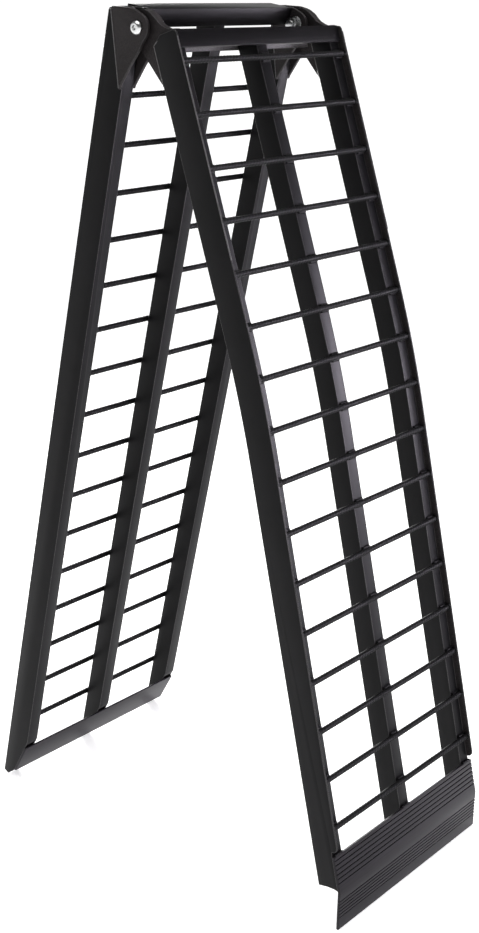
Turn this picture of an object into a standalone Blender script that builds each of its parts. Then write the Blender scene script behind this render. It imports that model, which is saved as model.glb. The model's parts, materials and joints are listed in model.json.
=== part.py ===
"""Folding arched ramp standing on its two ends like a trestle, hinge at the top.

Metres, +Z up, X across the ramp, the front section leans toward -Y, the rear toward +Y.
Each section is drawn on its own deck line: a station runs down the slope from the hinge
and a height is measured outward from the plane through the middles of the rungs.
"""

import math

import bmesh
import bpy
from mathutils import Vector

# ---- stance -------------------------------------------------------------------------
PIVOT_Y = 0.0018
PIVOT_Z = 1.2836
PIVOT_DEPTH = 0.057
FRONT_LEAN = math.radians(17.79)
FRONT_LEAN_AT_FOOT = math.radians(12.05)
REAR_LEAN = math.radians(13.4)
BEND_START = 0.436
BEND_LENGTH = 0.195
BEND_STEPS = 10

# ---- rails --------------------------------------------------------------------------
HALF_WIDTH = 0.1905
OUTER_RAIL_WIDTH = 0.0236
CENTRE_RAIL_WIDTH = 0.0236
RAIL_TOP = -0.0051
RAIL_BOTTOM = -0.0402
CURB_TOP = 0.0061
CURB_THICKNESS = 0.003
TUBE_WALL = 0.0025
FIT_GAP = 0.0004

FRONT_RAIL_START = 0.020
FRONT_RAIL_END = 1.2745
FRONT_CURB_END = 1.2148
REAR_RAIL_START = -0.0245
REAR_END_AT_TOP = -0.0172
REAR_END_AT_BOTTOM = -0.0232
REAR_CURB_START = -0.0145
REAR_RAIL_END = 1.334

# ---- rungs --------------------------------------------------------------------------
RUNG_RADIUS = 0.0046
RUNG_SIDES = 20
RUNG_PITCH = 0.07445
FRONT_RUNG_COUNT = 16
FRONT_RUNG_START = 0.0627
REAR_RUNG_COUNT = 17
REAR_RUNG_START = 0.0386

# ---- cross channels at the hinge ------------------------------------------------------
CHANNEL_WALL = 0.0035
FRONT_CHANNEL_TOP_WALL = 0.005
FRONT_CHANNEL_START = 0.0192
FRONT_CHANNEL_END = 0.044
FRONT_LOWER_FLANGE_END = 0.040
FLANGE_EDGE = 0.001
REAR_CHANNEL_START = -0.0196
REAR_CHANNEL_LEAN = 0.0029
REAR_CHANNEL_END = 0.0036
CHANNEL_HALF_WIDTH = 0.1611

# ---- hinge --------------------------------------------------------------------------
EAR_THICKNESS = 0.005
EAR_LOBE_RADIUS = 0.02
TONGUE_THICKNESS = 0.012
TONGUE_CENTRE_X = 0.1787
TONGUE_TOP_RADIUS = 0.0245
TONGUE_BOTTOM_RADIUS = 0.0223
TONGUE_SLOT_END = 0.095
BUSHING_RADIUS = 0.008
BOLT_RADIUS = 0.006
BOLT_HEAD_RADIUS = 0.0096
BOLT_HEAD_RIM = 0.0018
BOLT_HEAD_HEIGHT = 0.0058
DOME_TOP_RADIUS = 0.0054
DOME_STEPS = 6
SOCKET_RADIUS = 0.0041
SOCKET_DEPTH = 0.0034
BOLT_CLEARANCE = 0.0005
WASHER_RADIUS = 0.012
WASHER_THICKNESS = 0.0017
NUT_RADIUS = 0.011
NUT_HEIGHT = 0.0104
BOLT_TAIL = 0.0025
ROUND_SIDES = 32

# ---- lip at the foot of the front section ----------------------------------------------
LIP_HALF_WIDTH = 0.1916
LIP_START = 1.222
LIP_BEND = 1.279
LIP_TONGUE_LENGTH = 0.0638
LIP_BEND_ANGLE = math.radians(13.5)
LIP_THICKNESS = 0.0047
GROOVE_DEPTH = 0.0012
UPPER_GROOVE_START = 0.0045
UPPER_GROOVE_PITCH = 0.0072
UPPER_GROOVE_WIDTH = 0.0022
UPPER_GROOVE_COUNT = 6
LOWER_GROOVE_START = 0.013
LOWER_GROOVE_PITCH = 0.0056
LOWER_GROOVE_WIDTH = 0.0018
LOWER_GROOVE_COUNT = 6

# ---- ground plate at the foot of the rear section ---------------------------------------
MITRE_START = 1.242
MITRE_SLOPE = math.radians(17.0)
PLATE_THICKNESS = 0.0032
PLATE_FROM = 0.0138
PLATE_LENGTH = 0.0625

BLACK_COAT = (0.022, 0.022, 0.024, 1.0)
LIP_COAT = (0.06, 0.06, 0.07, 1.0)
ZINC = (0.62, 0.63, 0.64, 1.0)


def front_point(station, height):
    """Y and Z of a point on the front section: straight, a gentle bend, straight again."""
    bend_rate = (FRONT_LEAN - FRONT_LEAN_AT_FOOT) / BEND_LENGTH
    before = min(station, BEND_START)
    inside = min(max(station - BEND_START, 0.0), BEND_LENGTH)
    after = max(station - BEND_START - BEND_LENGTH, 0.0)
    lean = FRONT_LEAN - bend_rate * inside
    out = before * math.sin(FRONT_LEAN)
    out += (math.cos(lean) - math.cos(FRONT_LEAN)) / bend_rate
    out += after * math.sin(lean)
    down = before * math.cos(FRONT_LEAN)
    down += (math.sin(FRONT_LEAN) - math.sin(lean)) / bend_rate
    down += after * math.cos(lean)
    y = PIVOT_Y - out - height * math.cos(lean) - PIVOT_DEPTH * math.cos(FRONT_LEAN)
    z = PIVOT_Z - down + height * math.sin(lean) + PIVOT_DEPTH * math.sin(FRONT_LEAN)
    return y, z


def rear_point(station, height):
    """Y and Z of a point on the rear section, which is straight."""
    above_pivot = height + PIVOT_DEPTH
    y = PIVOT_Y + station * math.sin(REAR_LEAN) + above_pivot * math.cos(REAR_LEAN)
    z = PIVOT_Z - station * math.cos(REAR_LEAN) + above_pivot * math.sin(REAR_LEAN)
    return y, z


def front_stations(start, end):
    """Stations of a swept front piece, close together along the bend."""
    bend = [BEND_START + BEND_LENGTH * i / BEND_STEPS for i in range(BEND_STEPS + 1)]
    return [start] + bend + [end]


def make_material(name, colour, roughness, metallic):
    material = bpy.data.materials.new(name)
    material.use_nodes = True
    shader = material.node_tree.nodes["Principled BSDF"]
    shader.inputs["Base Color"].default_value = colour
    shader.inputs["Roughness"].default_value = roughness
    shader.inputs["Metallic"].default_value = metallic
    return material


def add_object(name, bm, finish):
    """Store a closed mesh as an object with its own material."""
    bmesh.ops.recalc_face_normals(bm, faces=bm.faces)
    mesh = bpy.data.meshes.new(name)
    bm.to_mesh(mesh)
    bm.free()
    colour, roughness, metallic = finish
    mesh.materials.append(make_material(name + "_finish", colour, roughness, metallic))
    obj = bpy.data.objects.new(name, mesh)
    bpy.context.scene.collection.objects.link(obj)
    return obj


def loft(name, rings, finish):
    """Close a row of matching rings of points into one body."""
    bm = bmesh.new()
    layers = [[bm.verts.new(point) for point in ring] for ring in rings]
    count = len(rings[0])
    for lower, upper in zip(layers, layers[1:]):
        for i in range(count):
            j = (i + 1) % count
            bm.faces.new((lower[i], lower[j], upper[j], upper[i]))
    bm.faces.new(layers[0])
    bm.faces.new(list(reversed(layers[-1])))
    return add_object(name, bm, finish)


def sweep(name, profile, stations, point_at, finish):
    """Carry a cross-section of (x, height) points down a section's stations."""
    rings = []
    for station in stations:
        rings.append([(x,) + point_at(station, height) for x, height in profile])
    return loft(name, rings, finish)


def slab(name, outline, x_from, x_to, point_at, finish):
    """A flat piece drawn side-on in (station, height), given a thickness across X."""
    rings = []
    for x in (x_from, x_to):
        rings.append([(x,) + point_at(station, height) for station, height in outline])
    return loft(name, rings, finish)


def rod(name, radius, x_from, x_to, centre, sides, finish):
    """A round or many-sided bar lying across the ramp."""
    rings = []
    for x in (x_from, x_to):
        ring = []
        for i in range(sides):
            angle = 2.0 * math.pi * i / sides
            y = centre[0] + radius * math.cos(angle)
            z = centre[1] + radius * math.sin(angle)
            ring.append((x, y, z))
        rings.append(ring)
    return loft(name, rings, finish)


def cut(target, cutter):
    """Take the cutter's shape out of the target."""
    cutter.hide_render = True
    cutter.display_type = "WIRE"
    modifier = target.modifiers.new(cutter.name, "BOOLEAN")
    modifier.operation = "DIFFERENCE"
    modifier.solver = "EXACT"
    modifier.object = cutter


def smooth_round_sides(obj, across_limit=0.9):
    """Shade the round sides smooth and keep the flat ends sharp."""
    for polygon in obj.data.polygons:
        polygon.use_smooth = abs(polygon.normal.x) < across_limit
    for edge in obj.data.edges:
        ends = [obj.data.vertices[v].co.x for v in edge.vertices]
        edge.use_edge_sharp = abs(ends[0] - ends[1]) < 1.0e-6


def box_profile(x_from, x_to, bottom, top):
    return [(x_from, bottom), (x_to, bottom), (x_to, top), (x_from, top)]


def outer_rail_profile(side):
    """A box with a thin raised edge on its outer side."""
    outer = side * HALF_WIDTH
    web = side * (HALF_WIDTH - CURB_THICKNESS)
    inner = side * (HALF_WIDTH - OUTER_RAIL_WIDTH)
    return [
        (inner, RAIL_BOTTOM),
        (outer, RAIL_BOTTOM),
        (outer, CURB_TOP),
        (web, CURB_TOP),
        (web, RAIL_TOP),
        (inner, RAIL_TOP),
    ]


def tube_profile(side):
    """The hollow inside an outer rail, or inside the centre rail when side is zero."""
    if side == 0:
        half = CENTRE_RAIL_WIDTH / 2.0 - TUBE_WALL
        return box_profile(-half, half, RAIL_BOTTOM + TUBE_WALL, RAIL_TOP - TUBE_WALL)
    near = side * (HALF_WIDTH - OUTER_RAIL_WIDTH + TUBE_WALL)
    far = side * (HALF_WIDTH - CURB_THICKNESS)
    return box_profile(near, far, RAIL_BOTTOM + TUBE_WALL, RAIL_TOP - TUBE_WALL)


def arc(first_radius, last_radius, from_degrees, to_degrees, steps):
    """Points round the pivot, as (station, height); 0 degrees is uphill, 90 is inward."""
    points = []
    for i in range(steps + 1):
        angle = math.radians(from_degrees + (to_degrees - from_degrees) * i / steps)
        radius = first_radius + (last_radius - first_radius) * i / steps
        points.append((-radius * math.cos(angle), -PIVOT_DEPTH - radius * math.sin(angle)))
    return points


# ---- start from an empty scene -----------------------------------------------------------
for old in list(bpy.data.objects):
    bpy.data.objects.remove(old, do_unlink=True)

coated = (BLACK_COAT, 0.45, 0.3)
lip_coated = (LIP_COAT, 0.5, 0.3)
plated = (ZINC, 0.3, 0.9)
SIDES = (("left", -1), ("centre", 0), ("right", 1))
OUTER_SIDES = (("left", -1), ("right", 1))
pivot = (PIVOT_Y, PIVOT_Z)
front_pieces = []
rear_pieces = []

# ---- front rails ---------------------------------------------------------------------
# the curb stops short of the lip and its two ends are rounded off
curb_end_outline = [
    (FRONT_CURB_END - 0.008, CURB_TOP + 0.004),
    (FRONT_CURB_END - 0.008, CURB_TOP),
    (FRONT_CURB_END - 0.003, CURB_TOP - 0.0015),
    (FRONT_CURB_END, CURB_TOP - 0.006),
    (FRONT_CURB_END, RAIL_TOP),
    (FRONT_RAIL_END + 0.02, RAIL_TOP),
    (FRONT_RAIL_END + 0.02, CURB_TOP + 0.004),
]
front_curb_corner_outline = [
    (FRONT_RAIL_START - 0.005, CURB_TOP - 0.0083),
    (FRONT_RAIL_START - 0.001, CURB_TOP - 0.0083),
    (FRONT_RAIL_START + 0.0018, CURB_TOP - 0.0018),
    (FRONT_RAIL_START + 0.0072, CURB_TOP + 0.0005),
    (FRONT_RAIL_START + 0.0072, CURB_TOP + 0.005),
    (FRONT_RAIL_START - 0.005, CURB_TOP + 0.005),
]
# the rail's hinge end loses its bottom corner so that it can pass the rear rail
front_heel_outline = [
    (FRONT_RAIL_START - 0.01, -0.0192),
    (FRONT_RAIL_START - 0.004, -0.0192),
    (FRONT_RAIL_START + 0.0135, RAIL_BOTTOM - 0.0043),
    (FRONT_RAIL_START - 0.01, RAIL_BOTTOM - 0.0043),
]
# the far end is cut back a little toward its underside, below the lip
front_toe_outline = [
    (FRONT_RAIL_END + 0.004, RAIL_TOP + 0.002),
    (FRONT_RAIL_END + 0.0005, -0.012),
    (FRONT_RAIL_END - 0.0015, -0.024),
    (FRONT_RAIL_END - 0.002, RAIL_BOTTOM - 0.002),
    (FRONT_RAIL_END + 0.03, RAIL_BOTTOM - 0.002),
    (FRONT_RAIL_END + 0.03, RAIL_TOP + 0.002),
]
tongue_slot_outline = [
    (FRONT_RAIL_START - 0.005, RAIL_BOTTOM - 0.004),
    (TONGUE_SLOT_END, RAIL_BOTTOM - 0.004),
    (TONGUE_SLOT_END, RAIL_BOTTOM + TUBE_WALL + 0.002),
    (FRONT_RAIL_START - 0.005, RAIL_BOTTOM + TUBE_WALL + 0.002),
]
for side_name, side in SIDES:
    if side == 0:
        half = CENTRE_RAIL_WIDTH / 2.0
        profile = box_profile(-half, half, RAIL_BOTTOM, RAIL_TOP)
        start = FRONT_CHANNEL_START + CHANNEL_WALL + FIT_GAP
    else:
        profile = outer_rail_profile(side)
        start = FRONT_RAIL_START
    rail = sweep(
        f"front_{side_name}_rail",
        profile,
        front_stations(start, FRONT_RAIL_END + 0.01),
        front_point,
        coated,
    )
    hollow = sweep(
        f"cut_front_{side_name}_hollow",
        tube_profile(side),
        front_stations(start - 0.01, FRONT_RAIL_END + 0.03),
        front_point,
        coated,
    )
    cut(rail, hollow)
    x_mid = side * (HALF_WIDTH - OUTER_RAIL_WIDTH / 2.0)
    cutters = {"toe": (front_toe_outline, x_mid - 0.02, x_mid + 0.02)}
    if side != 0:
        web_inner = HALF_WIDTH - CURB_THICKNESS - 0.0002
        web_outer = HALF_WIDTH + 0.002
        web = sorted((side * web_inner, side * web_outer))
        slot = (
            side * TONGUE_CENTRE_X - TONGUE_THICKNESS / 2.0 - FIT_GAP,
            side * TONGUE_CENTRE_X + TONGUE_THICKNESS / 2.0 + FIT_GAP,
        )
        cutters["curb_corner"] = (front_curb_corner_outline, web[0], web[1])
        cutters["heel"] = (front_heel_outline, x_mid - 0.02, x_mid + 0.02)
        cutters["slot"] = (tongue_slot_outline, slot[0], slot[1])
        cutters["curb_end"] = (curb_end_outline, web[0], web[1])
    for cutter_name, (outline, x_from, x_to) in cutters.items():
        cutter = slab(
            f"cut_front_{side_name}_{cutter_name}", outline, x_from, x_to, front_point, coated
        )
        cut(rail, cutter)
    front_pieces.append(rail)

# ---- rear rails ----------------------------------------------------------------------
mitre_rise = math.tan(MITRE_SLOPE)
TIP_BOTTOM = (1.318, RAIL_BOTTOM + (1.318 - MITRE_START) * mitre_rise)
REAR_TIP = (1.3321, RAIL_TOP + 0.0009)
rear_foot_outline = [
    (MITRE_START - 0.05, RAIL_BOTTOM - 0.05 * mitre_rise),
    TIP_BOTTOM,
    REAR_TIP,
    (REAR_TIP[0] - 0.0035, CURB_TOP + 0.001),
    (REAR_TIP[0] - 0.0035, CURB_TOP + 0.006),
    (REAR_RAIL_END + 0.02, CURB_TOP + 0.006),
    (REAR_RAIL_END + 0.02, RAIL_BOTTOM - 0.03),
    (MITRE_START - 0.05, RAIL_BOTTOM - 0.03),
]
# the hinge end leans a little, so that the underside reaches further uphill
rear_end_outline = [
    (REAR_END_AT_TOP, CURB_TOP + 0.003),
    (REAR_END_AT_TOP, RAIL_TOP),
    (REAR_END_AT_BOTTOM, RAIL_BOTTOM),
    (REAR_END_AT_BOTTOM, RAIL_BOTTOM - 0.003),
    (REAR_RAIL_START - 0.01, RAIL_BOTTOM - 0.003),
    (REAR_RAIL_START - 0.01, CURB_TOP + 0.003),
]
rear_curb_start_outline = [
    (REAR_RAIL_START - 0.005, RAIL_TOP),
    (REAR_CURB_START, RAIL_TOP),
    (REAR_CURB_START + 0.0006, CURB_TOP - 0.0036),
    (REAR_CURB_START + 0.002, CURB_TOP - 0.0011),
    (REAR_CURB_START + 0.005, CURB_TOP),
    (REAR_CURB_START + 0.005, CURB_TOP + 0.004),
    (REAR_RAIL_START - 0.005, CURB_TOP + 0.004),
]
# the front tongue swings up into this slot as the ramp opens
rear_slot_outline = [
    (REAR_RAIL_START - 0.005, RAIL_BOTTOM - 0.004),
    (0.038, RAIL_BOTTOM - 0.004),
    (0.038, RAIL_BOTTOM + TUBE_WALL + 0.002),
    (REAR_RAIL_START - 0.005, RAIL_BOTTOM + TUBE_WALL + 0.002),
]
for side_name, side in SIDES:
    if side == 0:
        half = CENTRE_RAIL_WIDTH / 2.0
        profile = box_profile(-half, half, RAIL_BOTTOM, RAIL_TOP)
        start = REAR_CHANNEL_START + CHANNEL_WALL + FIT_GAP
    else:
        profile = outer_rail_profile(side)
        start = REAR_RAIL_START
    rail = sweep(
        f"rear_{side_name}_rail", profile, (start, REAR_RAIL_END + 0.01), rear_point, coated
    )
    hollow = sweep(
        f"cut_rear_{side_name}_hollow",
        tube_profile(side),
        (start - 0.01, REAR_RAIL_END + 0.03),
        rear_point,
        coated,
    )
    cut(rail, hollow)
    x_mid = side * (HALF_WIDTH - OUTER_RAIL_WIDTH / 2.0)
    cutters = {"foot": (rear_foot_outline, x_mid - 0.02, x_mid + 0.02)}
    if side != 0:
        web_inner = HALF_WIDTH - CURB_THICKNESS - 0.0002
        web_outer = HALF_WIDTH + 0.002
        web = sorted((side * web_inner, side * web_outer))
        slot = (
            side * TONGUE_CENTRE_X - TONGUE_THICKNESS / 2.0 - 0.0012,
            side * TONGUE_CENTRE_X + TONGUE_THICKNESS / 2.0 + 0.0012,
        )
        cutters["end"] = (rear_end_outline, x_mid - 0.02, x_mid + 0.02)
        cutters["curb_start"] = (rear_curb_start_outline, web[0], web[1])
        cutters["slot"] = (rear_slot_outline, slot[0], slot[1])
    for cutter_name, (outline, x_from, x_to) in cutters.items():
        cutter = slab(
            f"cut_rear_{side_name}_{cutter_name}", outline, x_from, x_to, rear_point, coated
        )
        cut(rail, cutter)
    rear_pieces.append(rail)

# ---- rungs ---------------------------------------------------------------------------
rung_end = HALF_WIDTH - CURB_THICKNESS - FIT_GAP
rung_rows = (
    ("front", 1, FRONT_RUNG_COUNT, FRONT_RUNG_START, front_point, front_pieces),
    ("rear", 0, REAR_RUNG_COUNT, REAR_RUNG_START, rear_point, rear_pieces),
)
for section, first, count, start, point_at, pieces in rung_rows:
    for i in range(count):
        centre = point_at(start + i * RUNG_PITCH, 0.0)
        name = f"{section}_rung_{first + i:02d}"
        rung = rod(name, RUNG_RADIUS, -rung_end, rung_end, centre, RUNG_SIDES, coated)
        smooth_round_sides(rung)
        pieces.append(rung)

# ---- cross channels ------------------------------------------------------------------
channel_low = RAIL_BOTTOM - FIT_GAP
channel_high = RAIL_TOP + FIT_GAP
front_top = channel_high + FRONT_CHANNEL_TOP_WALL
# the lower flange of the front channel thins toward its free edge
front_outline = [
    (FRONT_CHANNEL_START, channel_low - CHANNEL_WALL),
    (FRONT_LOWER_FLANGE_END, channel_low - CHANNEL_WALL),
    (FRONT_LOWER_FLANGE_END, channel_low - CHANNEL_WALL + FLANGE_EDGE),
    (FRONT_CHANNEL_START + CHANNEL_WALL, channel_low),
    (FRONT_CHANNEL_START + CHANNEL_WALL, channel_high),
    (FRONT_CHANNEL_END, channel_high),
    (FRONT_CHANNEL_END, front_top),
    (FRONT_CHANNEL_START, front_top),
]
front_channel = slab(
    "front_hinge_channel", front_outline, -rung_end, rung_end, front_point, coated
)
# only the top flange runs out over the two outer rails
for side_name, side in OUTER_SIDES:
    x_range = sorted((side * CHANNEL_HALF_WIDTH, side * (HALF_WIDTH + 0.005)))
    below_flange = [
        (FRONT_CHANNEL_START - 0.01, channel_low - 0.01),
        (FRONT_CHANNEL_END + 0.01, channel_low - 0.01),
        (FRONT_CHANNEL_END + 0.01, channel_high),
        (FRONT_CHANNEL_START - 0.01, channel_high),
    ]
    cutter = slab(
        f"cut_front_channel_{side_name}",
        below_flange,
        x_range[0],
        x_range[1],
        front_point,
        coated,
    )
    cut(front_channel, cutter)
front_pieces.append(front_channel)

# the web of the rear channel leans like the ends of the rear rails
rear_outline = [
    (REAR_CHANNEL_START - REAR_CHANNEL_LEAN, channel_low - CHANNEL_WALL),
    (REAR_CHANNEL_END, channel_low - CHANNEL_WALL),
    (REAR_CHANNEL_END, channel_low),
    (REAR_CHANNEL_START - REAR_CHANNEL_LEAN + CHANNEL_WALL, channel_low),
    (REAR_CHANNEL_START + CHANNEL_WALL, channel_high),
    (REAR_CHANNEL_END, channel_high),
    (REAR_CHANNEL_END, channel_high + CHANNEL_WALL),
    (REAR_CHANNEL_START, channel_high + CHANNEL_WALL),
]
rear_pieces.append(
    slab(
        "rear_hinge_channel",
        rear_outline,
        -CHANNEL_HALF_WIDTH,
        CHANNEL_HALF_WIDTH,
        rear_point,
        coated,
    )
)

# ---- hinge ears, tongues and bolts ------------------------------------------------------
ear_outline = [
    (0.0905, -0.0396),
    (0.0650, -0.0307),
    (-0.0135, -0.0032),
    (-0.0172, -0.0050),
    (-0.0199, -0.0206),
    (-0.0225, -0.0349),
    (-0.0225, -0.0478),
] + arc(EAR_LOBE_RADIUS, EAR_LOBE_RADIUS, 12.0, 119.0, 15)
ear_outline += [
    (0.0174, -0.0702),
    (0.0275, -0.0669),
    (0.0550, -0.0535),
    (0.0860, -0.0402),
]

# the tongue narrows into the hollow of the rail and hooks a little over its open end
tongue_outline = [
    (0.0230, -0.0082),
    (0.0196, -0.0082),
    (0.0188, -0.0058),
    (0.0188, -0.0014),
    (0.0182, -0.0012),
    (0.0174, -0.0062),
    (0.0160, -0.0123),
    (0.0112, -0.0185),
    (0.0050, -0.0250),
    (-0.0045, -0.0305),
] + arc(TONGUE_TOP_RADIUS, TONGUE_BOTTOM_RADIUS, -58.0, 112.0, 20)
tongue_outline += [
    (0.0250, -0.0707),
    (0.0520, -0.0594),
    (0.0806, -0.0474),
    (0.0925, -0.0400),
    (0.0700, -0.0082),
]

rail_inner = HALF_WIDTH - OUTER_RAIL_WIDTH
inner_ear_x = (rail_inner - FIT_GAP - EAR_THICKNESS, rail_inner - FIT_GAP)
outer_ear_x = (HALF_WIDTH + FIT_GAP, HALF_WIDTH + FIT_GAP + EAR_THICKNESS)
for side_name, side in OUTER_SIDES:
    # the two ears stand either side of the rear rail and reach below it
    for ear_name, span in (("outer", outer_ear_x), ("inner", inner_ear_x)):
        x_range = sorted((side * span[0], side * span[1]))
        ear = slab(
            f"rear_{side_name}_{ear_name}_ear",
            ear_outline,
            x_range[0],
            x_range[1],
            rear_point,
            coated,
        )
        bore = rod(
            f"cut_{side_name}_{ear_name}_ear_bore",
            BOLT_RADIUS + BOLT_CLEARANCE,
            x_range[0] - 0.01,
            x_range[1] + 0.01,
            pivot,
            ROUND_SIDES,
            coated,
        )
        cut(ear, bore)
        rear_pieces.append(ear)

    # the tongue comes out of the front rail and carries a sleeve round the bolt
    tongue_x = (
        side * TONGUE_CENTRE_X - TONGUE_THICKNESS / 2.0,
        side * TONGUE_CENTRE_X + TONGUE_THICKNESS / 2.0,
    )
    tongue = slab(
        f"front_{side_name}_tongue", tongue_outline, tongue_x[0], tongue_x[1], front_point, coated
    )
    bore = rod(
        f"cut_{side_name}_tongue_bore",
        BUSHING_RADIUS + BOLT_CLEARANCE,
        tongue_x[0] - 0.01,
        tongue_x[1] + 0.01,
        pivot,
        ROUND_SIDES,
        coated,
    )
    cut(tongue, bore)
    front_pieces.append(tongue)

    sleeve_x = sorted((side * rail_inner, side * HALF_WIDTH))
    sleeve = rod(
        f"{side_name}_hinge_sleeve",
        BUSHING_RADIUS,
        sleeve_x[0],
        sleeve_x[1],
        pivot,
        ROUND_SIDES,
        plated,
    )
    smooth_round_sides(sleeve)
    bore = rod(
        f"cut_{side_name}_sleeve_bore",
        BOLT_RADIUS + BOLT_CLEARANCE,
        sleeve_x[0] - 0.01,
        sleeve_x[1] + 0.01,
        pivot,
        ROUND_SIDES,
        plated,
    )
    cut(sleeve, bore)
    front_pieces.append(sleeve)

    # bolt: domed head with a hexagon socket outside, nut and washer inboard
    head_near = outer_ear_x[1] + FIT_GAP
    washer_near = inner_ear_x[0] - FIT_GAP
    nut_near = washer_near - WASHER_THICKNESS - FIT_GAP
    shank_end = nut_near - NUT_HEIGHT - BOLT_TAIL
    bolt_steps = [
        (shank_end, BOLT_RADIUS),
        (head_near, BOLT_RADIUS),
        (head_near, BOLT_HEAD_RADIUS),
        (head_near + BOLT_HEAD_RIM, BOLT_HEAD_RADIUS),
    ]
    dome_height = BOLT_HEAD_HEIGHT - BOLT_HEAD_RIM
    for i in range(1, DOME_STEPS + 1):
        radius = BOLT_HEAD_RADIUS + (DOME_TOP_RADIUS - BOLT_HEAD_RADIUS) * i / DOME_STEPS
        fall = (radius - DOME_TOP_RADIUS) / (BOLT_HEAD_RADIUS - DOME_TOP_RADIUS)
        bolt_steps.append((head_near + BOLT_HEAD_RIM + dome_height * (1.0 - fall**2), radius))
    bolt_rings = []
    for x, radius in bolt_steps:
        ring = []
        for i in range(ROUND_SIDES):
            angle = 2.0 * math.pi * i / ROUND_SIDES
            y = PIVOT_Y + radius * math.cos(angle)
            z = PIVOT_Z + radius * math.sin(angle)
            ring.append((side * x, y, z))
        bolt_rings.append(ring)
    bolt = loft(f"{side_name}_pivot_bolt", bolt_rings, plated)
    smooth_round_sides(bolt, 0.98)
    head_end = head_near + BOLT_HEAD_HEIGHT
    socket_x = sorted((side * (head_end - SOCKET_DEPTH), side * (head_end + 0.005)))
    socket = rod(
        f"cut_{side_name}_bolt_socket", SOCKET_RADIUS, socket_x[0], socket_x[1], pivot, 6, plated
    )
    cut(bolt, socket)
    rear_pieces.append(bolt)

    for piece_name, radius, sides, near, thickness in (
        ("washer", WASHER_RADIUS, ROUND_SIDES, washer_near, WASHER_THICKNESS),
        ("locknut", NUT_RADIUS, 6, nut_near, NUT_HEIGHT),
    ):
        x_range = sorted((side * near, side * (near - thickness)))
        piece = rod(
            f"{side_name}_{piece_name}", radius, x_range[0], x_range[1], pivot, sides, plated
        )
        bore = rod(
            f"cut_{side_name}_{piece_name}_bore",
            BOLT_RADIUS + BOLT_CLEARANCE,
            x_range[0] - 0.01,
            x_range[1] + 0.01,
            pivot,
            ROUND_SIDES,
            plated,
        )
        cut(piece, bore)
        rear_pieces.append(piece)

# ---- ribbed lip ----------------------------------------------------------------------
lip_bottom = RAIL_TOP + FIT_GAP
lip_top = lip_bottom + LIP_THICKNESS
lip_outline = [(LIP_START, lip_bottom), (LIP_START, lip_top)]
for i in range(UPPER_GROOVE_COUNT):
    left = LIP_START + UPPER_GROOVE_START + i * UPPER_GROOVE_PITCH
    right = left + UPPER_GROOVE_WIDTH
    floor = lip_top - GROOVE_DEPTH
    lip_outline += [(left, lip_top), (left + 0.0004, floor), (right - 0.0004, floor)]
    lip_outline.append((right, lip_top))
lip_outline.append((LIP_BEND, lip_top))


def on_lip_tongue(along, height):
    """Station and height of a point on the turned-down part of the lip."""
    station = LIP_BEND + along * math.cos(LIP_BEND_ANGLE) + height * math.sin(LIP_BEND_ANGLE)
    level = lip_top - along * math.sin(LIP_BEND_ANGLE) + height * math.cos(LIP_BEND_ANGLE)
    return station, level


for i in range(LOWER_GROOVE_COUNT):
    left = LOWER_GROOVE_START + i * LOWER_GROOVE_PITCH
    right = left + LOWER_GROOVE_WIDTH
    lip_outline.append(on_lip_tongue(left, 0.0))
    lip_outline.append(on_lip_tongue(left + 0.0004, -GROOVE_DEPTH))
    lip_outline.append(on_lip_tongue(right - 0.0004, -GROOVE_DEPTH))
    lip_outline.append(on_lip_tongue(right, 0.0))
lip_outline.append(on_lip_tongue(LIP_TONGUE_LENGTH - 0.0015, 0.0))
lip_outline.append(on_lip_tongue(LIP_TONGUE_LENGTH, -0.0015))
lip_outline.append(on_lip_tongue(LIP_TONGUE_LENGTH, -LIP_THICKNESS + 0.001))
lip_outline.append(on_lip_tongue(LIP_TONGUE_LENGTH - 0.001, -LIP_THICKNESS))
lip_outline.append((LIP_BEND - LIP_THICKNESS * math.tan(LIP_BEND_ANGLE / 2.0), lip_bottom))
front_pieces.append(
    slab("ramp_lip", lip_outline, -LIP_HALF_WIDTH, LIP_HALF_WIDTH, front_point, lip_coated)
)

# ---- ground plate --------------------------------------------------------------------


def on_mitre(along, height):
    """Station and height of a point measured down the mitred cut and out from it."""
    station = MITRE_START + along * math.cos(MITRE_SLOPE) + height * math.sin(MITRE_SLOPE)
    level = RAIL_BOTTOM + along * math.sin(MITRE_SLOPE) - height * math.cos(MITRE_SLOPE)
    return station, level


plate_outline = [
    on_mitre(PLATE_FROM, FIT_GAP),
    on_mitre(PLATE_FROM + PLATE_LENGTH, FIT_GAP),
    on_mitre(PLATE_FROM + PLATE_LENGTH, FIT_GAP + PLATE_THICKNESS),
    on_mitre(PLATE_FROM, FIT_GAP + PLATE_THICKNESS),
]
rear_pieces.append(
    slab("ground_plate", plate_outline, -HALF_WIDTH, HALF_WIDTH, rear_point, lip_coated)
)

# ---- hang the moving section on its hinge axis -------------------------------------------
hinge = bpy.data.objects.new("front_section_hinge", None)
hinge.location = Vector((0.0, PIVOT_Y, PIVOT_Z))
bpy.context.scene.collection.objects.link(hinge)
bpy.context.view_layer.update()
for piece in front_pieces:
    piece.parent = hinge
    piece.matrix_parent_inverse = hinge.matrix_world.inverted()
bpy.context.view_layer.update()
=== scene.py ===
"""Looks of the folding arched ramp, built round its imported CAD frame.

Metres, +Z up, X across the ramp, the section with the ribbed lip leans toward -Y.
Every CAD node is replaced by a finished piece: the plain pieces get rounded edges, the rungs
are remade as serrated bars, and weld beads join what the workshop welded.

Places on a section are given as a station and a height: the station runs down the slope from
the hinge line, the height runs outward from the plane through the rungs' middles.
"""

import json
import math
import random

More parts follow.
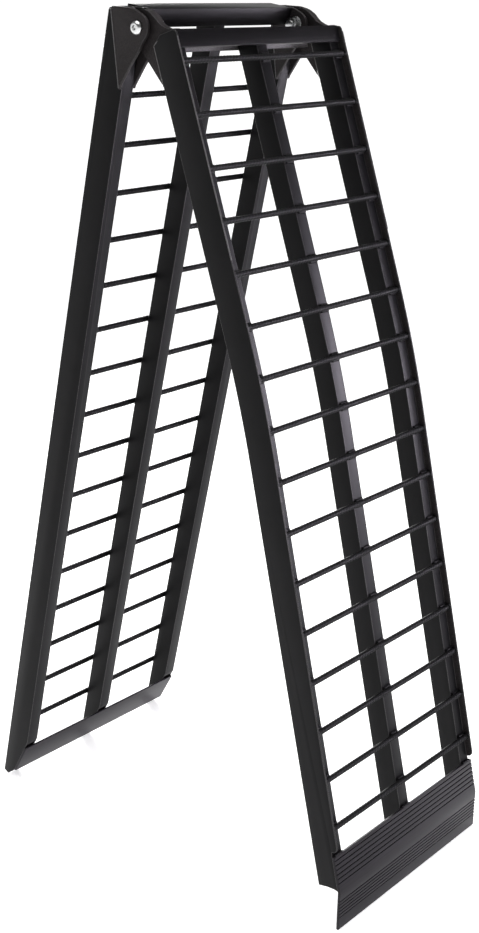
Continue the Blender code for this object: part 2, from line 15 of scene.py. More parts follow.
import bmesh
import bpy
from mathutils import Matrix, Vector


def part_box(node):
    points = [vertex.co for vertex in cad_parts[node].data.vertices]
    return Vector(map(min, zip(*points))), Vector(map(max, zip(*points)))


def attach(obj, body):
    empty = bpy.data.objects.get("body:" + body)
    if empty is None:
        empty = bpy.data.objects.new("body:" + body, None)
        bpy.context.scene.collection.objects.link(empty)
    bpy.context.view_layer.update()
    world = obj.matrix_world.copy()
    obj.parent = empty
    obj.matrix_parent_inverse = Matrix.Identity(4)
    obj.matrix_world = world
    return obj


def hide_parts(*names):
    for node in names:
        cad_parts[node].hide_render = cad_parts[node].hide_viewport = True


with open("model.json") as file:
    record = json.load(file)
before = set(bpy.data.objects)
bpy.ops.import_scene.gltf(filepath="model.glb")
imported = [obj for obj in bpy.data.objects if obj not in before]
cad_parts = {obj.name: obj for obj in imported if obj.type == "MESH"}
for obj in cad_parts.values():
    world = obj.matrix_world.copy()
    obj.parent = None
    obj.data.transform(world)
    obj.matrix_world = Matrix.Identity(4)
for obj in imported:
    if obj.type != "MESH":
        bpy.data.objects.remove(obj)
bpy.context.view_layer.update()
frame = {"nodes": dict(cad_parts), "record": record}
record = frame["record"]

FRONT = "front_section"
REAR = "rear_section"
bodies = record["behaviour"]["bodies"]
slot_of = {part["node"]: part["material_slot"] for part in record["subparts"]}
body_of = {node: body for body, nodes in bodies.items() for node in nodes}
hinge_y, hinge_z = record["behaviour"]["joints"][0]["pos_m"][1:]
OUTER_SIDES = (("left", -1.0), ("right", 1.0))

# ---- edges ---------------------------------------------------------------------------
RAIL_EDGE = 0.001
PLATE_EDGE = 0.0007
HARDWARE_EDGE = 0.0004
LIP_EDGE = 0.0004
EDGE_SEGMENTS = 3
EDGE_ANGLE = math.radians(28.0)
SMOOTH_ANGLE = math.radians(35.0)
RUNG_SMOOTH_ANGLE = math.radians(60.0)
BEAD_SMOOTH_ANGLE = math.radians(70.0)
SAME_POINT = 0.00001
FLAT_ANGLE = math.radians(0.2)

# ---- faces whose coat paints light or shade --------------------------------------------
# a face looks along a direction when its normal's share in that direction is above these
CURB_FACING = 0.9
FLANGE_FACING = 0.95
LIP_END_FACING = 0.5
LIP_TOP_FACING = 0.1
# the inner side of a curb lies between these depths, from the outermost face of the rails
CURB_NEAREST = 0.0008
CURB_FARTHEST = 0.006
# in the front channel, a face that looks outward from deeper than this is the far flange's
FAR_FLANGE_DEPTH = 0.01
# the lip lies flat on the rails for this length and then turns down
LIP_FLAT = 0.057
LIP_BEND = math.radians(13.5)
# a face of the lip that lies deeper than this is in a groove
GROOVE_SKIN = 0.0003

# ---- rungs ---------------------------------------------------------------------------
RUNG_SIDES = 24
RUNG_STEP = 0.0014
RUNG_END_LENGTH = 0.0012
RUNG_END_TRIM = 0.0007
FLUTE_COUNT = 10
FLUTE_DEPTH = 0.0004
FLUTE_TWIST = 0.12
NICK_DEPTH = 0.0008
NICK_PITCH = 0.0068
NICK_SLANT = 2.0
NICK_SHARPNESS = 3
RUNG_SEED = 11

# ---- weld beads ------------------------------------------------------------------------
BEAD_SIDES = 10
BEAD_STEP = 0.0007
BEAD_RIPPLE = 0.0023
BEAD_WAVE = 0.10
BEAD_JITTER = 0.04
BEAD_TIP = 0.05

# beads beside a rung, across a rail
RUNG_BEAD_RADIUS = 0.0023
RUNG_BEAD_OUT = 0.0046
RUNG_BEAD_DOWN = 0.0039
RUNG_BEAD_INSET = 0.0025
RUNG_BEAD_SEED = 31

# beads round the rungs' ends
END_BEAD_RADIUS = 0.0016
END_BEAD_INSET = 0.0004
END_LOOP_RADIUS = 0.0046
END_LOOP_STEPS = 12
END_LOOP_START = -45.0
END_LOOP_SWEEP = 270.0

# beads beside the tongues, along the open head of the front rails; their light coat paints a
# highlight
SEAM_RADIUS = 0.0022
SEAM_OUT = 0.0028
SEAM_LINE = ((0.0208, -0.0232), (0.0312, -0.0402), (0.0880, -0.0404))
SEAM_SEED = 71

# beads along the upper edge of the ears; their light coat paints a highlight line
EAR_BEAD_RADIUS = 0.0010
EAR_BEAD_LINE = ((-0.0130, -0.0034), (0.0650, -0.0307), (0.0890, -0.0390))
EAR_OUTER_INSET = 0.0004
EAR_INNER_INSET = 0.0003
EAR_BEAD_SEED = 83

# painted highlight lines along edges
SHINE_RADIUS = 0.0008
SHINE_INSET = 0.0005
CURB_LINE = ((0.030, 0.0061), (0.34, 0.0061))
HEAD_LINE = ((0.0262, -0.0306), (0.0308, -0.0394), (0.0790, -0.0396))
SHINE_SEED = 101

# beads under the upper edge of the lip
LIP_SEAM_RADIUS = 0.0017
LIP_SEAM_DEPTH = 0.0022
LIP_SEAM_ABOVE = 0.0008
LIP_SEAM_INSET = 0.001
LIP_SEAM_SEED = 97

# ---- coats ---------------------------------------------------------------------------
# noise scales count features per metre; a stretch gives one scale for each of X, Y and Z
SPECKLE_SCALE = 1400.0
# dust and streaks are the coat's light tone made this much lighter
DUST_GAIN = 2.2
DUST_LIFT = 0.002
STREAK_GAIN = 1.6
ROUGHNESS_SWING = 0.06
PEEL_DEPTH = 0.0001
PEEL_STRENGTH = 0.45
LINES_DOWN_THE_RAIL = (900.0, 12.0, 12.0)
LINES_ACROSS_THE_RAMP = (12.0, 900.0, 900.0)
COARSE_LINES_ACROSS = (12.0, 700.0, 700.0)
TURNING_MARKS = (2600.0, 500.0, 500.0)

# ---- camera and studio ----------------------------------------------------------------
CAMERA_AT = (-1.72672, -1.45221, 1.32036)
CAMERA_TURN = (math.radians(72.36), 0.0, math.radians(-50.306))
CAMERA_LENS = 56.65
CAMERA_REACH = 60.0
SENSOR = 36.0
FLOOR_HALF = 40.0
FLOOR_GLOW = 0.6
CEILING_WATTS = 1.6
CEILING_ANGLE = math.radians(60.0)
VIOLET = (1.0, 0.93, 1.08)
WHITE = (1.0, 1.0, 1.0)
# the room's white fades out as a direction rises, a little later toward +Y
ROOM_RISE = (0.0, -0.16, 1.0)
ROOM_FADE_FROM = 0.06
ROOM_FADE_TO = 0.32
ROOM_LOW = 1.02
ROOM_HIGH = 0.10


# ======================================================================================
# materials
# ======================================================================================
class Nodes:
    """A short way to write a node tree."""

    def __init__(self, name):
        self.material = bpy.data.materials.new(name)
        self.material.use_nodes = True
        self.tree = self.material.node_tree
        self.shader = self.tree.nodes["Principled BSDF"]
        coordinates = self.tree.nodes.new("ShaderNodeTexCoord")
        self.place = coordinates.outputs["Object"]

    def link(self, source, target):
        self.tree.links.new(source, target)

    def stretch(self, scale):
        """The place on the piece, scaled differently along X, Y and Z."""
        mapping = self.tree.nodes.new("ShaderNodeMapping")
        mapping.inputs["Scale"].default_value = scale
        self.link(self.place, mapping.inputs["Vector"])
        return mapping.outputs["Vector"]

    def noise(self, scale, detail=2.0, roughness=0.5, vector=None):
        node = self.tree.nodes.new("ShaderNodeTexNoise")
        node.inputs["Scale"].default_value = scale
        node.inputs["Detail"].default_value = detail
        node.inputs["Roughness"].default_value = roughness
        self.link(vector or self.place, node.inputs["Vector"])
        return node.outputs["Fac"]

    def ramp(self, value, stops):
        """Colour by value, from stops of (position, colour)."""
        node = self.tree.nodes.new("ShaderNodeValToRGB")
        elements = node.color_ramp.elements
        for element, (position, colour) in zip(elements, stops):
            element.position = position
            element.color = (*colour, 1.0)
        self.link(value, node.inputs["Fac"])
        return node.outputs["Color"]

    def span(self, value, low, high):
        """A value from 0 to 1, carried over to low to high."""
        node = self.tree.nodes.new("ShaderNodeMapRange")
        node.inputs["To Min"].default_value = low
        node.inputs["To Max"].default_value = high
        self.link(value, node.inputs["Value"])
        return node.outputs["Result"]

    def mix(self, factor, first, second):
        """The first colour, giving way to the plain second colour as the factor rises."""
        node = self.tree.nodes.new("ShaderNodeMix")
        node.data_type = "RGBA"
        colour_a, colour_b = [socket for socket in node.inputs if socket.type == "RGBA"]
        self.link(factor, node.inputs["Factor"])
        self.link(first, colour_a)
        colour_b.default_value = (*second, 1.0)
        return next(socket for socket in node.outputs if socket.type == "RGBA")

    def bump(self, height, distance, strength, below=None):
        """Surface relief, on top of another relief if one is given."""
        node = self.tree.nodes.new("ShaderNodeBump")
        node.inputs["Distance"].default_value = distance
        node.inputs["Strength"].default_value = strength
        self.link(height, node.inputs["Height"])
        if below is not None:
            self.link(below, node.inputs["Normal"])
        return node.outputs["Normal"]


def powder_coat(name, dark, light, roughness, specular):
    """Satin black powder coat: a fine orange-peel skin with faint cloudy patches and dust."""
    n = Nodes(name)
    clouds = n.noise(9.0, detail=4.0, roughness=0.55)
    speckle = n.noise(SPECKLE_SCALE, detail=1.0)
    tone = n.ramp(clouds, ((0.35, dark), (0.68, light)))
    dust = tuple(DUST_GAIN * channel + DUST_LIFT for channel in light)
    dusty = n.mix(n.span(speckle, low=-1.9, high=2.3), tone, dust)
    n.link(dusty, n.shader.inputs["Base Color"])
    low, high = roughness - ROUGHNESS_SWING, roughness + ROUGHNESS_SWING
    n.link(n.span(clouds, low, high), n.shader.inputs["Roughness"])
    peel = n.bump(n.noise(620.0), PEEL_DEPTH, PEEL_STRENGTH)
    skin = n.bump(speckle, distance=0.00004, strength=0.4, below=peel)
    n.link(skin, n.shader.inputs["Normal"])
    n.shader.inputs["Specular IOR Level"].default_value = specular
    return n.material


def drawn_coat(name, dark, light, roughness, specular, stretch):
    """Coated extrusion: the same skin, with the die's faint lines along the piece."""
    n = Nodes(name)
    clouds = n.noise(7.0, detail=4.0, roughness=0.55)
    lines = n.noise(1.0, detail=3.0, roughness=0.6, vector=n.stretch(stretch))
    tone = n.ramp(clouds, ((0.33, dark), (0.7, light)))
    streak = tuple(STREAK_GAIN * channel for channel in light)
    streaked = n.mix(n.span(lines, low=-0.6, high=1.2), tone, streak)
    n.link(streaked, n.shader.inputs["Base Color"])
    low, high = roughness - ROUGHNESS_SWING, roughness + ROUGHNESS_SWING
    n.link(n.span(lines, low, high), n.shader.inputs["Roughness"])
    peel = n.bump(n.noise(640.0), PEEL_DEPTH, PEEL_STRENGTH)
    skin = n.bump(lines, distance=0.0001, strength=0.3, below=peel)
    n.link(skin, n.shader.inputs["Normal"])
    n.shader.inputs["Specular IOR Level"].default_value = specular
    return n.material


def zinc_plate(name):
    """Bright zinc plating with fine turning marks and slightly duller patches."""
    n = Nodes(name)
    patches = n.noise(160.0, detail=3.0, roughness=0.6)
    marks = n.noise(1.0, vector=n.stretch(TURNING_MARKS))
    tone = n.ramp(patches, ((0.3, (0.60, 0.61, 0.63)), (0.72, (0.82, 0.82, 0.80))))
    n.link(tone, n.shader.inputs["Base Color"])
    n.link(n.span(patches, low=0.20, high=0.36), n.shader.inputs["Roughness"])
    n.link(n.bump(marks, distance=0.00006, strength=0.35), n.shader.inputs["Normal"])
    n.shader.inputs["Metallic"].default_value = 1.0
    return n.material


def weld_coat(name, dark, light, specular):
    """Weld beads under the coat: a lumpy skin whose gloss changes with the lumps."""
    n = Nodes(name)
    lumps = n.noise(420.0, detail=3.0, roughness=0.6)
    n.link(n.ramp(lumps, ((0.3, dark), (0.7, light))), n.shader.inputs["Base Color"])
    n.link(n.span(lumps, low=0.3, high=0.5), n.shader.inputs["Roughness"])
    n.link(n.bump(lumps, distance=0.0003, strength=0.5), n.shader.inputs["Normal"])
    n.shader.inputs["Specular IOR Level"].default_value = specular
    return n.material


MATERIALS = {
    "rail": drawn_coat(
        "rail_coat",
        dark=(0.0036, 0.0036, 0.0039),
        light=(0.0054, 0.0052, 0.0058),
        roughness=0.42,
        specular=0.10,
        stretch=LINES_DOWN_THE_RAIL,
    ),
    "black_coat": powder_coat(
        "black_coat",
        dark=(0.0130, 0.0112, 0.0114),
        light=(0.0185, 0.0162, 0.0168),
        roughness=0.48,
        specular=0.11,
    ),
    "black_rung": powder_coat(
        "rung_coat",
        dark=(0.0042, 0.0042, 0.0044),
        light=(0.0065, 0.0065, 0.0067),
        roughness=0.46,
        specular=0.055,
    ),
    "charcoal_extrusion": drawn_coat(
        "extrusion_coat",
        dark=(0.0098, 0.0088, 0.0106),
        light=(0.0142, 0.0127, 0.0156),
        roughness=0.42,
        specular=0.15,
        stretch=COARSE_LINES_ACROSS,
    ),
    "channel": drawn_coat(
        "channel_coat",
        dark=(0.0034, 0.0032, 0.0035),
        light=(0.0050, 0.0047, 0.0052),
        roughness=0.35,
        specular=0.07,
        stretch=LINES_ACROSS_THE_RAMP,
    ),
    # a lighter coat for rounded edges: partly rubbed wear, partly a painted highlight along the
    # edges
    "worn_and_painted_highlight_edge": powder_coat(
        "worn_and_painted_highlight_edge",
        dark=(0.012, 0.0115, 0.012),
        light=(0.026, 0.025, 0.0255),
        roughness=0.36,
        specular=0.3,
    ),
    # a lighter coat that paints a band of light on the far flange of the front channel
    "far_flange_painted_light": powder_coat(
        "far_flange_painted_light",
        dark=(0.050, 0.047, 0.048),
        light=(0.068, 0.065, 0.066),
        roughness=0.5,
        specular=0.2,
    ),
    # a darker coat that paints the shade down in the lip's grooves
    "groove_painted_shade": powder_coat(
        "groove_painted_shade_coat",
        dark=(0.0046, 0.0044, 0.0050),
        light=(0.0064, 0.0060, 0.0070),
        roughness=0.6,
        specular=0.04,
    ),
    "zinc_hardware": zinc_plate("zinc_hardware"),
    "weld": weld_coat(
        "weld_coat",
        dark=(0.003, 0.003, 0.0033),
        light=(0.007, 0.0066, 0.0074),
        specular=0.12,
    ),
    # a light coat on beads that paints a highlight line along them
    "painted_highlight_weld": weld_coat(
        "painted_highlight_weld_coat",
        dark=(0.045, 0.043, 0.044),
        light=(0.11, 0.106, 0.108),
        specular=0.5,
    ),
}


# ======================================================================================
# shared steps
# ======================================================================================
def add_object(name, bm):
    """Store a mesh under construction as an object of the scene."""
    mesh = bpy.data.meshes.new(name)
    bm.to_mesh(mesh)
    bm.free()
    obj = bpy.data.objects.new(name, mesh)
    bpy.context.scene.collection.objects.link(obj)
    return obj


def join_rings(bm, rings):
    """Close a row of equal rings of points with side faces; the ends stay open."""
    for a, b in zip(rings, rings[1:]):
        for k in range(len(a)):
            j = (k + 1) % len(a)
            bm.faces.new((a[k], a[j], b[j], b[k]))


def smooth_by_angle(obj, angle):
    """Smooth shading that stays sharp over real corners."""
    bm = bmesh.new()
    bm.from_mesh(obj.data)
    for face in bm.faces:
        face.smooth = True
    for edge in bm.edges:
        if len(edge.link_faces) == 2:
            edge.smooth = edge.calc_face_angle() < angle
    bm.to_mesh(obj.data)
    bm.free()


def rung_row(section):
    """Rung middles of a section, top to bottom, with the directions down and out."""
    nodes = sorted(node for node in slot_of if node.startswith(section + "_rung_"))
    middles = []
    for node in nodes:
        low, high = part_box(node)
        middles.append((low + high) / 2.0)
    row = []
    for i, middle in enumerate(middles):
        down = middles[min(i + 1, len(middles) - 1)] - middles[max(i - 1, 0)]
        down.normalize()
        row.append((middle, down, outward(section, down)))
    return row


def outward(section, down):
    """The direction square to the slope, on the side that is walked on."""
    facing = -1.0 if section == "front" else 1.0
    return Vector((0.0, -down.z, down.y)) * facing


def section_point(section, x, station, height):
    """A point on a section's straight upper part."""
    first, second = [row[0] for row in rung_row(section)[:2]]
    down = (second - first).normalized()
    out = outward(section, down)
    hinge = Vector((0.0, hinge_y, hinge_z))
    station_of_first = (first - hinge).dot(down)
    point = first + down * (station - station_of_first) + out * height
    return Vector((x, point.y, point.z))


def section_path(section, x, line):
    """The points of a line of (station, height), all at the same X."""
    return [section_point(section, x, station, height) for station, height in line]


# ======================================================================================
# pieces made from the CAD nodes
# ======================================================================================
def clean_copy(node):
    """The node's shape with its flat faces made whole again."""
    bm = bmesh.new()
    bm.from_mesh(frame["nodes"][node].data)
    bmesh.ops.remove_doubles(bm, verts=bm.verts, dist=SAME_POINT)
    bmesh.ops.dissolve_limit(
        bm,
        angle_limit=FLAT_ANGLE,
        verts=bm.verts,
        edges=bm.edges,
        use_dissolve_boundaries=False,
    )
    bmesh.ops.recalc_face_normals(bm, faces=bm.faces)
    return add_object("fine_" + node, bm)


def bake_modifiers(obj):
    """Turn the piece's modifiers into plain mesh."""
    bpy.context.view_layer.update()
    graph = bpy.context.evaluated_depsgraph_get()
    baked = bpy.data.meshes.new_from_object(obj.evaluated_get(graph))
    old = obj.data
    obj.modifiers.clear()
    obj.data = baked
    bpy.data.meshes.remove(old)


def stand_in(obj, node):
    """Let a finished piece take the place of its CAD node."""
    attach(obj, body_of[node])
    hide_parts(node)


def rounded(node, edge_radius, material, edge_material=None):
    """A CAD node with softly rounded edges, standing in for the node."""
    obj = clean_copy(node)
    obj.data.materials.append(material)
    bevel = obj.modifiers.new("edges", "BEVEL")
    # the rounded edges can take a lighter coat, partly wear and partly a painted edge highlight
    if edge_material is not None:
        obj.data.materials.append(edge_material)
        bevel.material = 1
    bevel.width = edge_radius
    bevel.segments = EDGE_SEGMENTS
    bevel.limit_method = "ANGLE"
    bevel.angle_limit = EDGE_ANGLE
    bevel.miter_outer = "MITER_ARC"
    bevel.use_clamp_overlap = True
    bevel.harden_normals = False
    bake_modifiers(obj)
    smooth_by_angle(obj, SMOOTH_ANGLE)
    stand_in(obj, node)
    return obj


def repaint(obj, material, wanted):
    """Give the faces that pass a test another material."""
    obj.data.materials.append(material)
    index = len(obj.data.materials) - 1
    for face in obj.data.polygons:
        if wanted(face):
            face.material_index = index


def make_rails():
    """The rails; the inner side of each curb gets a lighter coat than the rest: painted light on
    that side.
    """
    outermost = max(abs(corner.x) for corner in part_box("front_right_rail"))

    def curb_side_painted_light(face):
        depth = outermost - abs(face.center.x)
        return abs(face.normal.x) > CURB_FACING and CURB_NEAREST < depth < CURB_FARTHEST

    for node in slot_of:
        if node.endswith("_rail"):
            rail = rounded(node, RAIL_EDGE, MATERIALS["rail"], MATERIALS["worn_and_painted_highlight_edge"])
            # a lighter coat paints the light on each curb's inner side
            repaint(rail, MATERIALS["black_coat"], curb_side_painted_light)


def make_plates():
    """The ears, the tongues, the rear channel and the ground plate."""
    for node in slot_of:
        if node.endswith(("_ear", "_tongue")):
            rounded(node, PLATE_EDGE, MATERIALS["black_coat"], MATERIALS["worn_and_painted_highlight_edge"])
    rounded("rear_hinge_channel", PLATE_EDGE, MATERIALS["channel"])
    rounded("ground_plate", PLATE_EDGE, MATERIALS["charcoal_extrusion"])


def make_front_channel():
    """The inside of the channel's far flange gets a lighter coat: a painted band of light."""
    channel = rounded("front_hinge_channel", PLATE_EDGE, MATERIALS["channel"])
    foot = section_point("front", 0.0, 0.0, 0.0)
    out = section_point("front", 0.0, 0.0, 1.0) - foot
    top = max((vert.co - foot).dot(out) for vert in channel.data.vertices)

    def in_far_flange_light_band(face):
        depth = top - (face.center - foot).dot(out)
        return face.normal.dot(out) > FLANGE_FACING and depth > FAR_FLANGE_DEPTH

    # the lighter coat paints a band of light on the far flange's inner face
    repaint(channel, MATERIALS["far_flange_painted_light"], in_far_flange_light_band)


def make_lip():
    """The lip's grooves get a darker coat: painted shade down in the grooves."""
    lip = rounded("ramp_lip", LIP_EDGE, MATERIALS["charcoal_extrusion"])
    middle, down, out = rung_row("front")[-1]
    points = [vert.co - middle for vert in lip.data.vertices]
    bend = min(point.dot(down) for point in points) + LIP_FLAT
    top = max(point.dot(out) for point in points if point.dot(down) < bend)
    corner = middle + bend * down + top * out
    turned_out = math.cos(LIP_BEND) * out + math.sin(LIP_BEND) * down

    def in_groove_painted_shade(face):
        away = face.center - corner
        normal = out if away.dot(down) < 0.0 else turned_out
        on_end = abs(face.normal.x) > LIP_END_FACING
        looks_out = face.normal.dot(normal) >= LIP_TOP_FACING
        return looks_out and not on_end and -away.dot(normal) > GROOVE_SKIN

    # the darker coat paints shade in the grooves
    repaint(lip, MATERIALS["groove_painted_shade"], in_groove_painted_shade)


def make_hardware():
    """The plated pieces of the hinge."""
    for node in slot_of:
        if slot_of[node] == "zinc_hardware":
            rounded(node, HARDWARE_EDGE, MATERIALS["zinc_hardware"])


# ======================================================================================
# serrated rungs
# ======================================================================================
def make_rung(node, turn):
    """A round bar with shallow twisted flutes and a row of fine nicks over them."""
    low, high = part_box(node)
    centre_y = (low.y + high.y) / 2.0
    centre_z = (low.z + high.z) / 2.0
    radius = (high.y - low.y) / 2.0
    length = high.x - low.x
    steps = int(length / RUNG_STEP)
    bm = bmesh.new()
    rings = []
    for i in range(steps + 1):
        x = low.x + length * i / steps
        from_end = min(x - low.x, high.x - x)
        trim = RUNG_END_TRIM * max(0.0, 1.0 - from_end / RUNG_END_LENGTH)
        ring = []
        for k in range(RUNG_SIDES):
            angle = 2.0 * math.pi * k / RUNG_SIDES
            wave = math.sin(FLUTE_COUNT * (angle + turn) + 2.0 * math.pi * x / FLUTE_TWIST)
            nick = math.sin(2.0 * math.pi * x / NICK_PITCH + NICK_SLANT * angle + turn)
            reach = radius - FLUTE_DEPTH * (0.5 - 0.5 * wave)
            reach -= NICK_DEPTH * max(0.0, nick) ** NICK_SHARPNESS
            reach -= trim
            y = centre_y + reach * math.cos(angle)
            z = centre_z + reach * math.sin(angle)
            ring.append(bm.verts.new((x, y, z)))
        rings.append(ring)
    join_rings(bm, rings)
    bm.faces.new(rings[0])
    bm.faces.new(list(reversed(rings[-1])))
    bmesh.ops.recalc_face_normals(bm, faces=bm.faces)
    obj = add_object("fine_" + node, bm)
    smooth_by_angle(obj, RUNG_SMOOTH_ANGLE)
    obj.data.materials.append(MATERIALS["black_rung"])
    stand_in(obj, node)


def make_rungs():
    """Every rung gets a turn of its own, so that no two show quite the same nicks."""
    rng = random.Random(RUNG_SEED)
    for node in slot_of:
        if "_rung_" in node:
            make_rung(node, rng.uniform(0.0, 2.0 * math.pi))


# ======================================================================================
# welds
# ======================================================================================
def add_bead(bm, path, radius, rng):
    """Lay one rippled weld bead along a path of points, tapered at both ends."""
    points = []
    for start, end in zip(path, path[1:]):
        count = max(1, round((end - start).length / BEAD_STEP))
        points += [start.lerp(end, i / count) for i in range(count)]
    points.append(path[-1])
    phase = rng.uniform(0.0, 2.0 * math.pi)
    last = len(points) - 1
    rings = []
    for i, point in enumerate(points):
        ahead = points[min(i + 1, last)] - points[max(i - 1, 0)]
        ahead.normalize()
        side = ahead.orthogonal().normalized()
        up = ahead.cross(side)
        near_end = min(i, last - i) * BEAD_STEP / radius
        taper = math.sqrt(max(BEAD_TIP, 1.0 - max(0.0, 1.0 - near_end) ** 2))
        wave = math.sin(2.0 * math.pi * i * BEAD_STEP / BEAD_RIPPLE + phase)
        ripple = 1.0 + BEAD_WAVE * wave
        reach = radius * taper * (ripple + rng.uniform(-BEAD_JITTER, BEAD_JITTER))
        ring = []
        for k in range(BEAD_SIDES):
            angle = 2.0 * math.pi * k / BEAD_SIDES
            offset = reach * (math.cos(angle) * side + math.sin(angle) * up)
            ring.append(bm.verts.new(point + offset))
        rings.append(ring)
    join_rings(bm, rings)
    bm.faces.new(list(reversed(rings[0])))
    bm.faces.new(rings[-1])


def weld_piece(name, body, beads, seed, material="weld"):
    """One piece holding several beads, each a path of points and a radius."""
    rng = random.Random(seed)
    bm = bmesh.new()
    for path, radius in beads:
        add_bead(bm, path, radius, rng)
    bmesh.ops.recalc_face_normals(bm, faces=bm.faces)
    obj = add_object(name, bm)
    smooth_by_angle(obj, BEAD_SMOOTH_ANGLE)
    obj.data.materials.append(MATERIALS[material])
    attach(obj, body)


def across(low, high, inset, spot):
    """The two ends of a bead across a rail, at the spot's Y and Z."""
    start = Vector((low.x + inset, spot.y, spot.z))
    end = Vector((high.x - inset, spot.y, spot.z))
    return [start, end]


def end_loop(middle, down, out, x):
    """Three quarters of a circle round a rung's end, open toward the rail below it."""
    points = []
    for i in range(END_LOOP_STEPS + 1):
        angle = math.radians(END_LOOP_START + END_LOOP_SWEEP * i / END_LOOP_STEPS)
        spot = middle + END_LOOP_RADIUS * (math.cos(angle) * down + math.sin(angle) * out)
        points.append(Vector((x, spot.y, spot.z)))
    return points


def make_rung_welds():
    """Two beads where each rung crosses each rail, and one round its end at the curb."""
    rung_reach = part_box("front_rung_01")[1].x
    for section, body in (("front", FRONT), ("rear", REAR)):
        for side_name, side in (("left", -1.0), ("centre", 0.0), ("right", 1.0)):
            low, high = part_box(f"{section}_{side_name}_rail")
            beads = []
            for middle, down, out in rung_row(section):
                for way in (-1.0, 1.0):
                    spot = middle + down * (way * RUNG_BEAD_OUT) - out * RUNG_BEAD_DOWN
                    beads.append((across(low, high, RUNG_BEAD_INSET, spot), RUNG_BEAD_RADIUS))
                if side != 0.0:
                    end_x = side * (rung_reach - END_BEAD_INSET)
                    beads.append((end_loop(middle, down, out, end_x), END_BEAD_RADIUS))
            name = f"{section}_{side_name}_rung_welds"
            weld_piece(name, body, beads, RUNG_BEAD_SEED + len(beads))


def make_tongue_seams():
    """Beads along both sides of each tongue, where it comes out of the front rail, in a light
    coat that paints their highlight.
    """
    for side_name, _ in OUTER_SIDES:
        low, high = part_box(f"front_{side_name}_tongue")
        middle = (low.x + high.x) / 2.0
        half = (high.x - low.x) / 2.0
        beads = []
        for way in (-1.0, 1.0):
            x = middle + way * (half + SEAM_OUT)
            beads.append((section_path("front", x, SEAM_LINE), SEAM_RADIUS))
        weld_piece(f"front_{side_name}_tongue_seams", FRONT, beads, SEAM_SEED, "painted_highlight_weld")


def make_ear_seams():
    """Fine beads along the upper edge of each ear, on both of its faces, in a light coat that
    paints a highlight line.
    """
    for side_name, side in OUTER_SIDES:
        beads = []
        for ear_name, way in (("outer", -1.0), ("inner", 1.0)):
            low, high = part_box(f"rear_{side_name}_{ear_name}_ear")
            middle = (low.x + high.x) / 2.0
            half = (high.x - low.x) / 2.0
            for reach in (half - EAR_OUTER_INSET, -half + EAR_INNER_INSET):
                x = middle + side * way * reach
                beads.append((section_path("rear", x, EAR_BEAD_LINE), EAR_BEAD_RADIUS))
        weld_piece(f"rear_{side_name}_ear_seams", REAR, beads, EAR_BEAD_SEED, "painted_highlight_weld")


def make_painted_edge_highlights():
    """Painted highlight lines along the curb's outer edge and the rail's lower head corner."""
    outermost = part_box("front_right_rail")[1].x
    for side_name, side in OUTER_SIDES:
        x = side * (outermost - SHINE_INSET)
        beads = []
        for line in (CURB_LINE, HEAD_LINE):
            beads.append((section_path("front", x, line), SHINE_RADIUS))
        weld_piece(f"front_{side_name}_edge_painted_highlight", FRONT, beads, SHINE_SEED, "painted_highlight_weld")


def make_lip_seams():
    """A bead across each rail along the upper edge of the lip."""
    middle, down, out = rung_row("front")[-1]
    edge = middle + down * ((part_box("ramp_lip")[1].z - middle.z) / down.z)
    spot = edge - out * LIP_SEAM_DEPTH - down * LIP_SEAM_ABOVE
    beads = []
    for side_name in ("left", "centre", "right"):
        low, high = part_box(f"front_{side_name}_rail")
        beads.append((across(low, high, LIP_SEAM_INSET, spot), LIP_SEAM_RADIUS))
    weld_piece("front_lip_seams", FRONT, beads, LIP_SEAM_SEED)


# ======================================================================================
# studio
# ======================================================================================
def make_floor():
    """A wide white floor that glows a little, so that the shadows on it stay faint."""
    bm = bmesh.new()
    corners = ((-1, -1), (1, -1), (1, 1), (-1, 1))
    bm.faces.new([bm.verts.new((FLOOR_HALF * x, FLOOR_HALF * y, 0.0)) for x, y in corners])
    floor = add_object("studio_floor", bm)
    n = Nodes("studio_floor")
    tone = n.ramp(n.noise(1.5), ((0.3, (0.90, 0.90, 0.90)), (0.7, (0.93, 0.93, 0.93))))
    n.link(tone, n.shader.inputs["Base Color"])
    n.shader.inputs["Roughness"].default_value = 0.9
    n.shader.inputs["Specular IOR Level"].default_value = 0.1
    n.shader.inputs["Emission Color"].default_value = (*WHITE, 1.0)
    n.shader.inputs["Emission Strength"].default_value = FLOOR_GLOW
    floor.data.materials.append(n.material)


def make_world():
    """A white room whose upper part gives little light; seen directly it is white all over."""
    world = bpy.data.worlds.new("studio")
    world.use_nodes = True
    tree = world.node_tree
    background = tree.nodes["Background"]
    background.inputs["Color"].default_value = (*WHITE, 1.0)
    coordinates = tree.nodes.new("ShaderNodeTexCoord")
    rise = tree.nodes.new("ShaderNodeVectorMath")
    rise.operation = "DOT_PRODUCT"
    rise.inputs[1].default_value = ROOM_RISE
    fade = tree.nodes.new("ShaderNodeMapRange")
    fade.inputs["From Min"].default_value = ROOM_FADE_FROM
    fade.inputs["From Max"].default_value = ROOM_FADE_TO
    fade.inputs["To Min"].default_value = ROOM_LOW
    fade.inputs["To Max"].default_value = ROOM_HIGH
    seen = tree.nodes.new("ShaderNodeLightPath")
    strength = tree.nodes.new("ShaderNodeMath")
    strength.operation = "MAXIMUM"
    tree.links.new(coordinates.outputs["Generated"], rise.inputs[0])
    tree.links.new(rise.outputs["Value"], fade.inputs["Value"])
    tree.links.new(fade.outputs["Result"], strength.inputs[0])
    tree.links.new(seen.outputs["Is Camera Ray"], strength.inputs[1])
    tree.links.new(strength.outputs["Value"], background.inputs["Strength"])
    bpy.context.scene.world = world


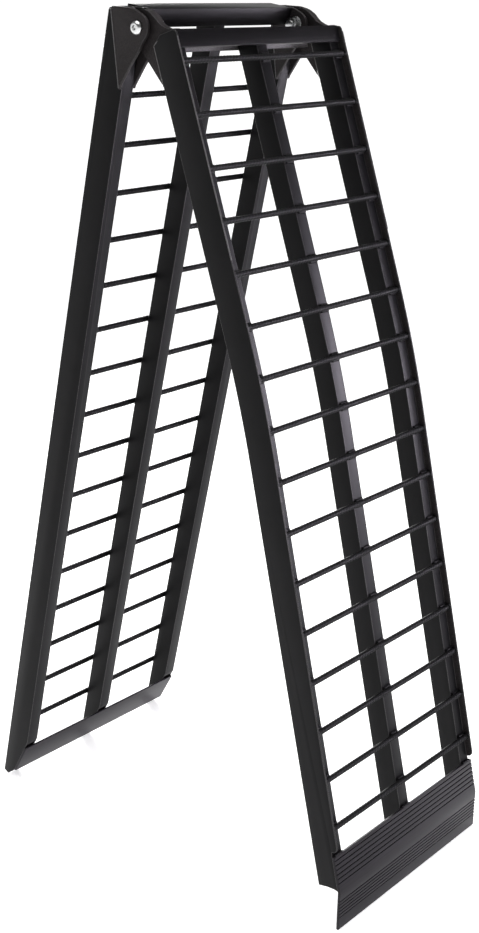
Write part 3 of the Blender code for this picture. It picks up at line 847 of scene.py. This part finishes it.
def soft_light(name, place, aim, size, watts, spread=180.0, tint=WHITE):
    """A soft box at a place, turned toward its aim; the spread is in degrees."""
    light = bpy.data.lights.new(name, "AREA")
    light.color = tint
    light.shape = "RECTANGLE"
    light.size, light.size_y = size
    light.energy = watts
    light.spread = math.radians(spread)
    lamp = bpy.data.objects.new(name, light)
    lamp.location = place
    lamp.rotation_euler = (Vector(aim) - Vector(place)).to_track_quat("-Z", "Y").to_euler()
    bpy.context.scene.collection.objects.link(lamp)


def make_lights():
    """Even light from above, a low violet key to the right, and fills in front and behind."""
    ceiling = bpy.data.lights.new("ceiling_light", "SUN")
    ceiling.energy = CEILING_WATTS
    ceiling.angle = CEILING_ANGLE
    bpy.context.scene.collection.objects.link(bpy.data.objects.new("ceiling_light", ceiling))
    soft_light(
        "key",
        place=(4.10, -3.25, 1.08),
        aim=(0.0, -0.25, 0.85),
        size=(2.4, 0.8),
        watts=11.0,
        spread=34.0,
        tint=VIOLET,
    )
    soft_light(
        "front_fill",
        place=(0.60, -1.85, 0.82),
        aim=(0.0, -0.25, 0.82),
        size=(0.5, 0.5),
        watts=4.5,
        spread=60.0,
        tint=VIOLET,
    )
    soft_light(
        "back_fill",
        place=(2.2, 3.4, 1.5),
        aim=(0.0, 0.2, 0.7),
        size=(1.6, 1.6),
        watts=45.0,
        spread=70.0,
    )
    soft_light(
        "floor_pool",
        place=(1.0, -0.6, 3.2),
        aim=(0.9, -0.5, 0.0),
        size=(1.0, 1.0),
        watts=15.0,
    )


def make_camera():
    """The camera stands off the left front, about as high as the ramp."""
    camera = bpy.data.cameras.new("photo_view")
    camera.lens = CAMERA_LENS
    camera.sensor_width = SENSOR
    camera.sensor_height = SENSOR
    camera.sensor_fit = "VERTICAL"
    camera.clip_end = CAMERA_REACH
    viewer = bpy.data.objects.new("photo_view", camera)
    viewer.location = CAMERA_AT
    viewer.rotation_euler = CAMERA_TURN
    bpy.context.scene.collection.objects.link(viewer)
    bpy.context.scene.camera = viewer


make_rails()
make_plates()
make_front_channel()
make_lip()
make_hardware()
make_rungs()
make_rung_welds()
make_tongue_seams()
make_ear_seams()
make_painted_edge_highlights()
make_lip_seams()
make_floor()
make_world()
make_lights()
make_camera()
bpy.context.scene.view_settings.view_transform = "Standard"
